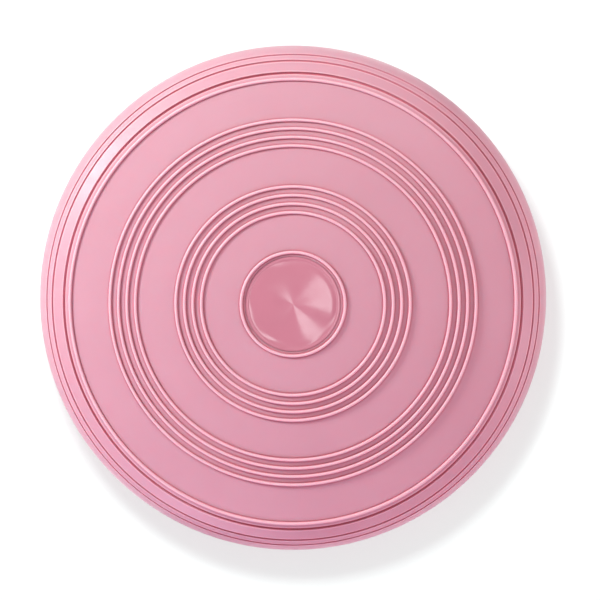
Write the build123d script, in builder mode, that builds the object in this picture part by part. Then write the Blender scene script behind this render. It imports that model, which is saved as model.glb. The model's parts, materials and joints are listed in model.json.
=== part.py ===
"""Balance dome trainer: an inflated PVC dome clamped onto a rigid round platform.

Millimetres, +Z up. The origin is on the floor, at the centre of the ring of feet, on the dome's axis.
-Y is the front, where the inflation valve sits. The hand grips are on the left (-X) and right (+X).
"""

import os
from math import acos, asin, cos, degrees, radians, sin, sqrt

from build123d import *

# ---------------------------------------------------------------- driving dimensions
# Dome bladder: a crowned top, a rounded shoulder and a side that tucks in over the platform
dome_radius = 290.0  # at its widest line
crown_rise = 75.0  # widest line to the top of the crown
shoulder_radius = 50.0
side_radius = 75.0  # below the widest line
dome_overhang = 30.0  # widest line to the straight lip that the platform holds
bladder_wall = 3.5
lip_height = 16.0
bead_height = 6.0
bead_width = 3.5  # how far the bead stands out from the lip
floor_sheet = 2.0  # thickness of the flat sheet that closes the air chamber

# Moulded rings on the dome
ridge_radius = 2.75  # of a ridge's round section
ridge_sink = 0.25  # centre of that section below the surface
ridge_pitch = 9.75
inner_group_radius = 105.3  # innermost ridge of the inner group
outer_group_radius = 180.7  # innermost ridge of the outer group
ridges_in_group = 4
badge_ridge_radius = 58.9
shoulder_ridge_inset = 34.5  # single ridge, measured in from the widest line
deep_groove_inset = 27.3
deep_groove_radius = 1.8
fine_groove_insets = (14.2, 7.8)
fine_groove_radius = 1.0
side_groove_angles = (10.0, 15.0)  # fine grooves below the widest line, in degrees down the side

# Centre badge, let into the crown inside its ridge
badge_radius = 54.0
badge_recess = 1.0
badge_bed = 0.1  # glue under it
badge_gap = 0.3

# Inflation valve: a neck moulded into the bladder, a hard seat in the neck and a plug in the seat
valve_drop_angle = 30.0  # of its axis below the horizontal
valve_neck_radius = 13.0
valve_neck_depth = 14.0
valve_neck_proud = 1.0
valve_seat_radius = 8.0
valve_seat_gap = 0.1
valve_flange_radius = 11.5
valve_flange = 1.5
valve_bore_radius = 4.6
plug_clearance = 0.2
plug_seat_gap = 0.1
plug_head_radius = 9.0
plug_head = 3.0
plug_head_edge = 0.8
plug_stem = 13.0
plug_taper = 1.2
plug_tab_width = 3.0
plug_tab_length = 12.0
plug_tab_height = 2.5

# Platform: base below, deck inside, retaining ring around the dome's bead
foot_height = 4.0  # how far the feet stand below the base
base_plate = 4.0
flange = 6.0
deck_plate = 4.0
deck_step = 8.0  # top of the deck above its flange, inside the dome's lip
platform_wall = 4.0
ring_skirt = 3.0
ring_body = 9.0  # radial room for the screws, outside the bead
ring_lip = 12.8  # height of the ring above the top of the bead
ring_edge_fillet = 7.0
base_edge_fillet = 3.0
bead_gap = 0.2  # under the ring's lip
rim_gap = 0.4  # ring's inner edge to the dome
fit_gap = 0.3

# Stiffening
rib = 2.5
rib_count = 12
rib_overlap = 1.0  # how far a rib runs into the wall or hoop at its ends
deck_rib_height = 12.0
rib_gap = 2.0  # between the deck's ribs and the base's ribs
hub_radius = 40.0
base_hoop_radius = 160.0
deck_hoop_radius = 185.0

# Screws: one row clamps the ring, two rows close the platform
ring_screw_count = 16
outer_screw_count = 12
inner_screw_count = 4
inner_screw_radius = 110.0
screw_shank = 1.6
screw_head = 3.0
screw_head_height = 2.4
screw_head_edge = 0.6
screw_socket = 1.1
screw_socket_depth = 1.2
head_clearance = 0.3
head_sink = 0.3  # head below the surface around it
hole_clearance = 0.3
thread_gap = 0.05
hole_run_out = 1.0  # hole past the screw's tip
ring_screw_length = 14.0
base_screw_length = 16.0
boss_wall = 3.2
tower_wall = 2.5
tower_step = 4.0  # height of the base's screw towers above its plate
tower_gap = 1.0  # to the platform's wall

# Feet
foot_count = 8
foot_radius = 14.0
foot_recess = 2.0
foot_gap = 0.1
foot_edge = 1.0
foot_groove_radius = 8.0
foot_groove = 1.2
foot_inset = 38.0  # platform's edge to the feet's centres

# Hand grips: cups let into the underside
grip_inset = 52.0  # platform's edge to the grips' centres
grip_length = 120.0
grip_width = 30.0
grip_depth = 30.0
grip_wall = 2.5
grip_corner = 12.0
grip_roof_gap = 5.5  # to the deck
grip_bay_gap = 3.0  # to the deck's ribs, which stop short of the cups
grip_flange = 2.0
grip_flange_end = 10.0  # how far the flange runs past the cup at each end
grip_flange_side = 4.0
grip_mouth_edge = 0.6
collar_wall = 2.5
collar_height = 12.0
finger_rib_count = 4
finger_rib = 1.0
finger_rib_length = 90.0
finger_rib_pitch = 6.0
grip_screw_head = 3.0
grip_screw_head_height = 1.5
grip_screw_shank = 1.5
grip_screw_length = 10.0
grip_screw_sink = 0.2

# Tread rings on the underside, which is stood on when the dome is turned down
tread_radii = (50.0, 60.0, 70.0, 132.0, 142.0, 152.0, 162.0, 172.0)
tread_radius = 1.5
tread_height = 1.0

# ---------------------------------------------------------------- derived places
base_z = foot_height
cavity_z = base_z + base_plate
deck_under_z = base_z + grip_depth + grip_wall + grip_roof_gap
deck_top_z = deck_under_z + deck_plate
seat_z = deck_top_z - deck_step
flange_z = seat_z - flange
lip_top_z = seat_z + lip_height
bead_top_z = seat_z + bead_height
ring_top_z = bead_top_z + ring_lip

lip_radius = dome_radius - dome_overhang
side_centre_r = dome_radius - side_radius
side_reach = lip_radius - side_centre_r
widest_z = lip_top_z + sqrt(side_radius**2 - side_reach**2)
top_z = widest_z + crown_rise

shoulder_centre_r = dome_radius - shoulder_radius
crown_drop = crown_rise - shoulder_radius
crown_radius = (shoulder_centre_r**2 + crown_rise**2 - shoulder_radius**2) / (2 * crown_drop)
crown_centre_z = top_z - crown_radius
crown_angle = degrees(asin(shoulder_centre_r / (crown_radius - shoulder_radius)))
crown_end_r = crown_radius * sin(radians(crown_angle))

bead_radius = lip_radius + bead_width
ring_inner = bead_radius + fit_gap
skirt_inner = ring_inner + ring_body
flange_radius = skirt_inner - fit_gap
platform_radius = skirt_inner + ring_skirt
wall_inner = platform_radius - platform_wall
deck_radius = lip_radius - bladder_wall - fit_gap
deck_wall_inner = deck_radius - platform_wall
ring_screw_radius = ring_inner + ring_body / 2

boss_radius = screw_shank + boss_wall
counterbore = screw_head + head_clearance
tower_radius = counterbore + tower_wall
tower_top_z = cavity_z + tower_step
outer_screw_radius = wall_inner - tower_radius - tower_gap
head_recess = screw_head_height + head_sink
deck_rib_z = deck_under_z - deck_rib_height
base_rib_z = deck_rib_z - rib_gap

foot_top_z = base_z + foot_recess

grip_centre = platform_radius - grip_inset
grip_sides = {"left": -1, "right": 1}
cup_length = grip_length + 2 * grip_wall
cup_width = grip_width + 2 * grip_wall
grip_screw_y = (cup_length + grip_flange_end) / 2
grip_boss_radius = grip_screw_shank + tower_wall
grip_boss_z = base_z + grip_screw_length + 2 * hole_run_out

valve_plane = Plane(
    origin=(
        0,
        -side_centre_r - side_radius * cos(radians(valve_drop_angle)),
        widest_z - side_radius * sin(radians(valve_drop_angle)),
    ),
    x_dir=(1, 0, 0),
    z_dir=(0, -cos(radians(valve_drop_angle)), -sin(radians(valve_drop_angle))),
)
valve_line = Axis(valve_plane.origin, valve_plane.z_dir)


def round_points(radius, count):
    """Points evenly spaced round the axis, the same on both sides of both grips' centre line."""
    turns = [radians(360 / count * (n + 0.5)) for n in range(count)]
    return [(radius * cos(turn), radius * sin(turn)) for turn in turns]


def crown_z(r):
    """Height of the dome's outer surface at radius r, above its widest line."""
    if r <= crown_end_r:
        return crown_centre_z + sqrt(crown_radius**2 - r**2)
    return widest_z + sqrt(shoulder_radius**2 - (r - shoulder_centre_r) ** 2)


def side_r(z):
    """Radius of the dome's outer surface at height z, between its lip and its widest line."""
    return side_centre_r + sqrt(side_radius**2 - (widest_z - z) ** 2)


def bladder_arcs(inset):
    """Draws the crown, shoulder and side as tangent arcs, moved inwards, and returns the side's arc."""
    turn = 90 - crown_angle
    drop = degrees(acos((side_reach - inset) / (side_radius - inset)))
    CenterArc((0, crown_centre_z), crown_radius - inset, 90, -crown_angle)
    CenterArc((shoulder_centre_r, widest_z), shoulder_radius - inset, turn, -turn)
    return CenterArc((side_centre_r, widest_z), side_radius - inset, 0, -drop)


def cap_outline(depth_below, depth_above, reach):
    """Draws the closed outline of a cap that follows the crown between two depths, out to a radius."""
    low = crown_radius - depth_below
    high = crown_radius - depth_above
    low_arc = CenterArc((0, crown_centre_z), low, 90, -degrees(asin(reach / low)))
    high_arc = CenterArc((0, crown_centre_z), high, 90, -degrees(asin(reach / high)))
    Line(low_arc @ 0, high_arc @ 0)
    Line(low_arc @ 1, high_arc @ 1)


def cup_outline(margin, corner):
    """Draws a grip cup's outline in both of its places, larger by a margin all round."""
    with PolarLocations(grip_centre, len(grip_sides)):
        RectangleRounded(cup_width + 2 * margin, cup_length + 2 * margin, corner)


os.makedirs("parts", exist_ok=True)

ring_screw_points = round_points(ring_screw_radius, ring_screw_count)
outer_screw_points = round_points(outer_screw_radius, outer_screw_count)
inner_screw_points = round_points(inner_screw_radius, inner_screw_count)
base_screw_points = outer_screw_points + inner_screw_points
foot_points = round_points(platform_radius - foot_inset, foot_count)
grip_screw_points = [(side * grip_centre, end * grip_screw_y) for side in (-1, 1) for end in (-1, 1)]

# ---------------------------------------------------------------- dome bladder
group_starts = (inner_group_radius, outer_group_radius)
group_ridges = [start + ridge_pitch * n for start in group_starts for n in range(ridges_in_group)]
ridge_radii = [badge_ridge_radius, *group_ridges, dome_radius - shoulder_ridge_inset]
deep_groove_r = dome_radius - deep_groove_inset
fine_groove_radii = [dome_radius - inset for inset in fine_groove_insets]
side_groove_heights = [widest_z - side_radius * sin(radians(angle)) for angle in side_groove_angles]

with BuildPart() as dome_bladder:
    with BuildSketch(Plane.XZ):
        with BuildLine():
            outer_side = bladder_arcs(0)
            inner_side = bladder_arcs(bladder_wall)
            Polyline(
                outer_side @ 1,
                (lip_radius, bead_top_z),
                (bead_radius, bead_top_z),
                (bead_radius, seat_z),
                (lip_radius - bladder_wall, seat_z),
                inner_side @ 1,
            )
            Line((0, top_z), (0, top_z - bladder_wall))
        make_face()
        with Locations(*[(r, crown_z(r) - ridge_sink) for r in ridge_radii]):
            Circle(ridge_radius)
        with Locations((deep_groove_r, crown_z(deep_groove_r))):
            Circle(deep_groove_radius, mode=Mode.SUBTRACT)
        with Locations(*[(r, crown_z(r)) for r in fine_groove_radii]):
            Circle(fine_groove_radius, mode=Mode.SUBTRACT)
        with Locations(*[(side_r(z), z) for z in side_groove_heights]):
            Circle(fine_groove_radius, mode=Mode.SUBTRACT)
        with BuildLine():
            cap_outline(badge_recess, -badge_recess, badge_radius + badge_gap)
        make_face(mode=Mode.SUBTRACT)
    revolve(axis=Axis.Z)
    with BuildSketch(valve_plane.offset(valve_neck_proud)):
        Circle(valve_neck_radius)
    extrude(amount=-(valve_neck_proud + valve_neck_depth))
    with BuildSketch(valve_plane.offset(valve_neck_proud)):
        Circle(valve_seat_radius)
    extrude(amount=-(valve_neck_proud + valve_neck_depth), mode=Mode.SUBTRACT)
dome_bladder.part.label = "dome_bladder"
export_step(dome_bladder.part, "parts/dome_bladder.step")

# ---------------------------------------------------------------- sheet that closes the air chamber
with BuildPart() as bladder_floor:
    with BuildSketch(Plane.XY.offset(deck_top_z)):
        Circle(deck_radius)
    extrude(amount=floor_sheet)
bladder_floor.part.label = "bladder_floor"
export_step(bladder_floor.part, "parts/bladder_floor.step")

# ---------------------------------------------------------------- centre badge
with BuildPart() as centre_badge:
    with BuildSketch(Plane.XZ):
        with BuildLine():
            cap_outline(badge_recess - badge_bed, 0, badge_radius)
        make_face()
    revolve(axis=Axis.Z)
centre_badge.part.label = "centre_badge"
export_step(centre_badge.part, "parts/centre_badge.step")

# ---------------------------------------------------------------- inflation valve
with BuildPart() as valve_seat:
    with BuildSketch(valve_plane.offset(valve_neck_proud)):
        Circle(valve_flange_radius)
    extrude(amount=valve_flange)
    chamfer(valve_seat.edges().sort_by(valve_line)[-1], valve_flange / 3)
    with BuildSketch(valve_plane.offset(valve_neck_proud)):
        Circle(valve_seat_radius - valve_seat_gap)
    extrude(amount=-(valve_neck_proud + valve_neck_depth))
    with BuildSketch(valve_plane.offset(valve_neck_proud + valve_flange)):
        Circle(valve_bore_radius)
    extrude(amount=-(valve_neck_proud + valve_flange + valve_neck_depth), mode=Mode.SUBTRACT)
valve_seat.part.label = "valve_seat"
export_step(valve_seat.part, "parts/valve_seat.step")

plug_seat_offset = valve_neck_proud + valve_flange + plug_seat_gap
with BuildPart() as valve_plug:
    with BuildSketch(valve_plane.offset(plug_seat_offset)):
        Circle(plug_head_radius)
    extrude(amount=plug_head)
    chamfer(valve_plug.edges().filter_by(GeomType.CIRCLE), plug_head_edge)
    with BuildSketch(valve_plane.offset(plug_seat_offset)):
        Circle(valve_bore_radius - plug_clearance)
    extrude(amount=-plug_stem)
    chamfer(valve_plug.edges().sort_by(valve_line)[0], plug_taper)
    with BuildSketch(valve_plane.offset(plug_seat_offset + plug_head)):
        SlotOverall(plug_tab_length, plug_tab_width)
    extrude(amount=plug_tab_height)
valve_plug.part.label = "valve_plug"
export_step(valve_plug.part, "parts/valve_plug.step")

# ---------------------------------------------------------------- retaining ring
ring_arc_radius = side_radius + rim_gap
ring_arc_start = degrees(acos((side_reach + rim_gap) / ring_arc_radius))
ring_arc_end = degrees(asin((widest_z - ring_top_z) / ring_arc_radius))

with BuildPart() as retaining_ring:
    with BuildSketch(Plane.XZ):
        with BuildLine():
            flare = CenterArc(
                (side_centre_r, widest_z), ring_arc_radius, -ring_arc_start, ring_arc_start - ring_arc_end
            )
            Polyline(
                flare @ 0,
                (lip_radius + rim_gap, bead_top_z + bead_gap),
                (ring_inner, bead_top_z + bead_gap),
                (ring_inner, seat_z),
                (skirt_inner, seat_z),
                (skirt_inner, flange_z),
                (platform_radius, flange_z),
                (platform_radius, ring_top_z),
                flare @ 1,
            )
        make_face()
        outer_corner = vertices().sort_by_distance((platform_radius, ring_top_z))[0]
        fillet(outer_corner, ring_edge_fillet)
    revolve(axis=Axis.Z)
    with BuildSketch(Plane.XY.offset(seat_z)):
        with Locations(*ring_screw_points):
            Circle(screw_shank + thread_gap)
    extrude(amount=ring_screw_length + hole_run_out + head_recess - flange, mode=Mode.SUBTRACT)
retaining_ring.part.label = "retaining_ring"
export_step(retaining_ring.part, "parts/retaining_ring.step")

# ---------------------------------------------------------------- deck inside the dome's lip
with BuildPart() as platform_deck:
    with BuildSketch(Plane.XZ):
        with BuildLine():
            Polyline(
                (0, deck_top_z),
                (deck_radius, deck_top_z),
                (deck_radius, seat_z),
                (flange_radius, seat_z),
                (flange_radius, flange_z),
                (deck_wall_inner, flange_z),
                (deck_wall_inner, deck_under_z),
                (0, deck_under_z),
                close=True,
            )
        make_face()
    revolve(axis=Axis.Z)
    with BuildSketch(Plane.XY.offset(deck_rib_z)):
        for radius in (deck_hoop_radius, hub_radius):
            Circle(radius + rib / 2)
            Circle(radius - rib / 2, mode=Mode.SUBTRACT)
        with PolarLocations((hub_radius + deck_wall_inner) / 2, rib_count):
            Rectangle(deck_wall_inner - hub_radius + rib_overlap, rib)
        with PolarLocations(grip_centre, len(grip_sides)):
            Rectangle(cup_width + 2 * grip_bay_gap, cup_length + 2 * grip_bay_gap, mode=Mode.SUBTRACT)
    extrude(amount=deck_rib_height)
    with BuildSketch(Plane.XY.offset(tower_top_z)):
        with Locations(*inner_screw_points):
            Circle(boss_radius)
    extrude(amount=deck_under_z - tower_top_z)
    with BuildSketch(Plane.XY.offset(tower_top_z)):
        with Locations(*outer_screw_points):
            Circle(boss_radius)
    extrude(amount=flange_z - tower_top_z)
    with BuildSketch(Plane.XY.offset(tower_top_z)):
        with Locations(*base_screw_points):
            Circle(screw_shank + thread_gap)
    extrude(amount=base_screw_length - tower_step + hole_run_out, mode=Mode.SUBTRACT)
    with BuildSketch(Plane.XY.offset(flange_z)):
        with Locations(*ring_screw_points):
            Circle(counterbore)
    extrude(amount=head_recess, mode=Mode.SUBTRACT)
    with BuildSketch(Plane.XY.offset(flange_z)):
        with Locations(*ring_screw_points):
            Circle(screw_shank + hole_clearance)
    extrude(amount=flange, mode=Mode.SUBTRACT)
platform_deck.part.label = "platform_deck"
export_step(platform_deck.part, "parts/platform_deck.step")

# ---------------------------------------------------------------- base
with BuildPart() as platform_base:
    with BuildSketch(Plane.XZ):
        with BuildLine():
            Polyline(
                (0, base_z),
                (platform_radius, base_z),
                (platform_radius, flange_z),
                (wall_inner, flange_z),
                (wall_inner, cavity_z),
                (0, cavity_z),
                close=True,
            )
        make_face()
        fillet(vertices().sort_by_distance((platform_radius, base_z))[0], base_edge_fillet)
        with Locations(*[(r, base_z + tread_radius - tread_height) for r in tread_radii]):
            Circle(tread_radius)
    revolve(axis=Axis.Z)
    with BuildSketch(Plane.XY.offset(cavity_z)):
        for radius in (base_hoop_radius, hub_radius):
            Circle(radius + rib / 2)
            Circle(radius - rib / 2, mode=Mode.SUBTRACT)
        with PolarLocations((hub_radius + wall_inner) / 2, rib_count):
            Rectangle(wall_inner - hub_radius + rib_overlap, rib)
    extrude(amount=base_rib_z - cavity_z)
    with BuildSketch(Plane.XY.offset(base_z)):
        with Locations(*base_screw_points):
            Circle(tower_radius)
    extrude(amount=tower_top_z - base_z)
    with BuildSketch(Plane.XY.offset(cavity_z)):
        cup_outline(fit_gap + collar_wall, grip_corner + collar_wall)
    extrude(amount=collar_height)
    with BuildSketch(Plane.XY.offset(base_z)):
        with Locations(*grip_screw_points):
            Circle(grip_boss_radius)
    extrude(amount=grip_boss_z - base_z)
    with BuildSketch(Plane.XY.offset(base_z)):
        cup_outline(fit_gap, grip_corner)
    extrude(amount=flange_z - base_z, mode=Mode.SUBTRACT)
    with BuildSketch(Plane.XY.offset(base_z)):
        with PolarLocations(grip_centre, len(grip_sides)):
            RectangleRounded(
                cup_width + 2 * (grip_flange_side + foot_gap),
                cup_length + 2 * (grip_flange_end + foot_gap),
                grip_corner,
            )
    extrude(amount=grip_flange, mode=Mode.SUBTRACT)
    with BuildSketch(Plane.XY.offset(base_z)):
        with Locations(*foot_points):
            Circle(foot_radius + foot_gap)
    extrude(amount=foot_recess, mode=Mode.SUBTRACT)
    with BuildSketch(Plane.XY.offset(base_z)):
        with Locations(*grip_screw_points):
            Circle(grip_screw_shank + thread_gap)
    extrude(amount=grip_screw_length + hole_run_out, mode=Mode.SUBTRACT)
    with BuildSketch(Plane.XY.offset(base_z)):
        with Locations(*base_screw_points):
            Circle(counterbore)
    extrude(amount=base_plate, mode=Mode.SUBTRACT)
    with BuildSketch(Plane.XY.offset(base_z)):
        with Locations(*base_screw_points):
            Circle(screw_shank + hole_clearance)
    extrude(amount=tower_top_z - base_z, mode=Mode.SUBTRACT)
platform_base.part.label = "platform_base"
export_step(platform_base.part, "parts/platform_base.step")

# ---------------------------------------------------------------- screws
with BuildPart() as ring_screws:
    with BuildSketch(Plane.XY.offset(flange_z + head_sink)):
        with Locations(*ring_screw_points):
            Circle(screw_head)
    extrude(amount=screw_head_height)
    chamfer(ring_screws.edges().group_by(Axis.Z)[0], screw_head_edge)
    with BuildSketch(Plane.XY.offset(flange_z + head_recess)):
        with Locations(*ring_screw_points):
            Circle(screw_shank)
    extrude(amount=ring_screw_length)
    with BuildSketch(Plane.XY.offset(flange_z + head_sink)):
        with Locations(*ring_screw_points):
            RegularPolygon(screw_socket, 6)
    extrude(amount=screw_socket_depth, mode=Mode.SUBTRACT)
ring_screws.part.label = "ring_screws"
export_step(ring_screws.part, "parts/ring_screws.step")

with BuildPart() as base_screws:
    with BuildSketch(Plane.XY.offset(cavity_z - screw_head_height)):
        with Locations(*base_screw_points):
            Circle(screw_head)
    extrude(amount=screw_head_height)
    chamfer(base_screws.edges().group_by(Axis.Z)[0], screw_head_edge)
    with BuildSketch(Plane.XY.offset(cavity_z)):
        with Locations(*base_screw_points):
            Circle(screw_shank)
    extrude(amount=base_screw_length)
    with BuildSketch(Plane.XY.offset(cavity_z - screw_head_height)):
        with Locations(*base_screw_points):
            RegularPolygon(screw_socket, 6)
    extrude(amount=screw_socket_depth, mode=Mode.SUBTRACT)
base_screws.part.label = "base_screws"
export_step(base_screws.part, "parts/base_screws.step")

with BuildPart() as grip_screws:
    with Locations(*[(x, y, base_z + grip_screw_sink) for x, y in grip_screw_points]):
        Cone(
            grip_screw_head,
            grip_screw_shank,
            grip_screw_head_height,
            align=(Align.CENTER, Align.CENTER, Align.MIN),
        )
        Cylinder(
            grip_screw_shank,
            grip_screw_length - grip_screw_sink,
            align=(Align.CENTER, Align.CENTER, Align.MIN),
        )
    with BuildSketch(Plane.XY.offset(base_z + grip_screw_sink)):
        with Locations(*grip_screw_points):
            RegularPolygon(screw_socket, 6)
    extrude(amount=screw_socket_depth, mode=Mode.SUBTRACT)
grip_screws.part.label = "grip_screws"
export_step(grip_screws.part, "parts/grip_screws.step")

# ---------------------------------------------------------------- hand grips
for side_name, side in grip_sides.items():
    grip_plane = Plane(origin=(side * grip_centre, 0, base_z), x_dir=(side, 0, 0), z_dir=(0, 0, 1))
    rib_plane = Plane(origin=grip_plane.origin, x_dir=(side, 0, 0), z_dir=(0, -side, 0))
    with BuildPart() as hand_grip:
        with BuildSketch(grip_plane):
            RectangleRounded(cup_width, cup_length, grip_corner)
        extrude(amount=grip_depth + grip_wall)
        with BuildSketch(grip_plane):
            RectangleRounded(
                cup_width + 2 * grip_flange_side, cup_length + 2 * grip_flange_end, grip_corner
            )
        extrude(amount=grip_flange)
        with BuildSketch(grip_plane):
            RectangleRounded(grip_width, grip_length, grip_corner - grip_wall)
        extrude(amount=grip_depth, mode=Mode.SUBTRACT)
        chamfer(hand_grip.edges().group_by(Axis.Z)[0], grip_mouth_edge)
        with BuildSketch(rib_plane):
            with Locations(
                *[
                    (grip_width / 2, grip_depth / 2 + finger_rib_pitch * (n - (finger_rib_count - 1) / 2))
                    for n in range(finger_rib_count)
                ]
            ):
                Circle(finger_rib)
        extrude(amount=finger_rib_length / 2, both=True)
        with Locations(
            *[
                Plane(origin=(side * grip_centre, end * grip_screw_y, base_z), z_dir=(0, 0, -1))
                for end in (-1, 1)
            ]
        ):
            CounterSinkHole(
                grip_screw_shank + hole_clearance, grip_screw_head + hole_clearance, depth=grip_flange
            )
    hand_grip.part.label = f"hand_grip_{side_name}"
    export_step(hand_grip.part, f"parts/hand_grip_{side_name}.step")

# ---------------------------------------------------------------- feet
for number, (foot_x, foot_y) in enumerate(foot_points, start=1):
    foot_plane = Plane(origin=(foot_x, foot_y, 0))
    with BuildPart() as foot:
        with BuildSketch(foot_plane):
            Circle(foot_radius)
        extrude(amount=foot_top_z)
        chamfer(foot.edges().group_by(Axis.Z)[0], foot_edge)
        with BuildSketch(foot_plane):
            Circle(foot_groove_radius + foot_groove / 2)
            Circle(foot_groove_radius - foot_groove / 2, mode=Mode.SUBTRACT)
        extrude(amount=foot_groove / 2, mode=Mode.SUBTRACT)
    foot.part.label = f"foot_{number}"
    export_step(foot.part, f"parts/foot_{number}.step")
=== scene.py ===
# %% [markdown]
# # A balance dome trainer
#
# This lesson dresses a finished construction model in its looks. The trainer is an air-filled dome of soft
# pink PVC, clamped by a ring onto a rigid round platform. Only the top of the real trainer is known, so the
# platform is the construction model's own choice. That model holds every piece at its chosen size, so the
# first step loads it as a fixed frame, and everything made later is placed from it.

import json
from math import acos, asin, atan2, cos, degrees, hypot, pi, radians, sin, sqrt

import bmesh
import bpy
from mathutils import Matrix, Vector


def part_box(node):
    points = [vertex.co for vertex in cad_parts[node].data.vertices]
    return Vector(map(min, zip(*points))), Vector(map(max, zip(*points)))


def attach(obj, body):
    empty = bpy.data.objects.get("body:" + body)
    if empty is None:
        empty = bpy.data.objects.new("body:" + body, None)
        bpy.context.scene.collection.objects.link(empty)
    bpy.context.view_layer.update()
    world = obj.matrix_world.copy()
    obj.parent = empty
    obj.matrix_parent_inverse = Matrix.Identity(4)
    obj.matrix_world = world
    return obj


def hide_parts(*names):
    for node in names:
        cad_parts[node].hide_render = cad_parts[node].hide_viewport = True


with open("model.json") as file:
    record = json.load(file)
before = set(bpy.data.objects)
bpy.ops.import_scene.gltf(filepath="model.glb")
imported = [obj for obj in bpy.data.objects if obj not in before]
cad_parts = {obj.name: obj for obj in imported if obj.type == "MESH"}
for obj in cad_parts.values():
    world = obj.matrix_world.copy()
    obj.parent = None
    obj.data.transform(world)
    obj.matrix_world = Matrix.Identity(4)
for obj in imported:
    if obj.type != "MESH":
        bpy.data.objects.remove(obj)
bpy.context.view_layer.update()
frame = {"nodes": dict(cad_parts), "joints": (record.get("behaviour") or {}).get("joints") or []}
nodes = frame["nodes"]

# %% [markdown]
# The scene is in metres, while a moulding is easier to think about in millimetres. A tiny helper keeps the
# sizes below readable. The main heights and radii come from the frame's own boxes, so the looks follow the
# construction model if it changes.

# %% Units and the sizes read from the frame
def mm(value):
    return value / 1000.0


dome_low, dome_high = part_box("dome_bladder")
ring_low, ring_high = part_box("retaining_ring")
badge_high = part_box("centre_badge")[1]
DOME_RADIUS = dome_high.x
RING_RADIUS = ring_high.x
SEAT_HEIGHT = dome_low.z
print("dome radius", round(DOME_RADIUS, 4), "platform radius", round(RING_RADIUS, 4))

# %% [markdown]
# ## The camera
#
# The trainer is shown from above. The camera looks almost straight down, leaning about five degrees, so
# that the crown sits a little below the middle of the outline. It stands far away with a long lens, because
# a product picture like this one has nearly no perspective.

# %% Camera
CAMERA_LEAN = radians(4.8)
CAMERA_DISTANCE = 5.8
PICTURE_WIDTH = 0.6885
AIM = Vector((mm(7.9), mm(-1.5), mm(114)))

lean = Vector((0, sin(CAMERA_LEAN), cos(CAMERA_LEAN)))
camera_data = bpy.data.cameras.new("camera")
camera_data.sensor_width = 36.0
camera_data.lens = camera_data.sensor_width * CAMERA_DISTANCE / PICTURE_WIDTH
camera = bpy.data.objects.new("camera", camera_data)
camera.location = AIM + lean * CAMERA_DISTANCE
camera.rotation_euler = (-CAMERA_LEAN, 0, 0)
bpy.context.scene.collection.objects.link(camera)
bpy.context.scene.camera = camera
print("lens", round(camera_data.lens, 1), "mm")

# %% [markdown]
# ## The studio
#
# A pale floor and soft light are all the setting. The floor is a wide sheet. It is hidden from bounced
# light, because so bright a sheet lights the trainer's lower side too strongly. Materials are node trees, so
# three
# small helpers come first: one starts a material, one adds a node, and one maps a range of numbers to
# another.

# %% Node helpers
def new_material(name):
    """A material with its Principled shader, ready for more nodes."""
    material = bpy.data.materials.new(name)
    material.use_nodes = True
    tree = material.node_tree
    return material, tree, tree.nodes["Principled BSDF"]


def add_node(tree, kind, **values):
    """A node with some of its sockets set by name."""
    node = tree.nodes.new(kind)
    for socket, value in values.items():
        node.inputs[socket.replace("_", " ")].default_value = value
    return node


def ramp(tree, source, from_low, from_high, to_low, to_high):
    """Maps one range of numbers to another, held at its ends."""
    node = add_node(tree, "ShaderNodeMapRange")
    values = (from_low, from_high, to_low, to_high)
    for socket, value in zip(("From Min", "From Max", "To Min", "To Max"), values):
        node.inputs[socket].default_value = value
    tree.links.new(source, node.inputs["Value"])
    return node.outputs["Result"]


# %% [markdown]
# With those helpers the floor is a few lines: four corners, one face and a dull, very slightly cool white.

# %% Floor
def new_object(name, mesh):
    made = bpy.data.objects.new(name, mesh)
    bpy.context.scene.collection.objects.link(made)
    return made


FLOOR_HALF = 6.0
floor_mesh = bpy.data.meshes.new("floor")
floor_corners = [(x * FLOOR_HALF, y * FLOOR_HALF, 0) for x, y in ((-1, -1), (1, -1), (1, 1), (-1, 1))]
floor_mesh.from_pydata(floor_corners, [], [(0, 1, 2, 3)])
floor = new_object("floor", floor_mesh)
floor.visible_diffuse = False

floor_material, _, floor_shader = new_material("pale floor")
floor_shader.inputs["Base Color"].default_value = (0.83, 0.93, 0.91, 1)
floor_shader.inputs["Roughness"].default_value = 0.9
floor_shader.inputs["Specular IOR Level"].default_value = 0.1
floor_mesh.materials.append(floor_material)
print("floor", FLOOR_HALF * 2, "m across")

# %% [markdown]
# A low lamp from the back left draws the moulded rings, as raking light always does on a shallow relief. A
# wider one stands higher at the back and fills. Two wide, low ones at the right and the front left lift the
# edges that the raking lamp leaves dark, one of them slightly violet. Light linking keeps these four off
# the floor. The floor has a wash of its own, which nothing blocks, and a small high lamp that throws its
# shadow.

# %% Lamps
def studio_lamp(name, azimuth, elevation, distance, size, watts, colour=(1, 1, 1)):
    """A square soft lamp aimed at the trainer. Azimuth 0 stands it on +X, 90 on +Y."""
    data = bpy.data.lights.new(name, "AREA")
    data.size = size
    data.energy = watts
    data.color = colour
    lamp = bpy.data.objects.new(name, data)
    a, e = radians(azimuth), radians(elevation)
    direction = Vector((cos(a) * cos(e), sin(a) * cos(e), sin(e)))
    lamp.location = Vector((0, 0, mm(120))) + direction * distance
    lamp.rotation_euler = direction.to_track_quat("Z", "Y").to_euler()
    lamp.visible_camera = False
    bpy.context.scene.collection.objects.link(lamp)
    return lamp


def link_only(lamp, target, state):
    """Makes a lamp light only the target (INCLUDE) or everything but the target (EXCLUDE)."""
    group = bpy.data.collections.new(lamp.name + " receivers")
    group.objects.link(target)
    group.collection_objects[0].light_linking.link_state = state
    lamp.light_linking.receiver_collection = group


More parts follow.
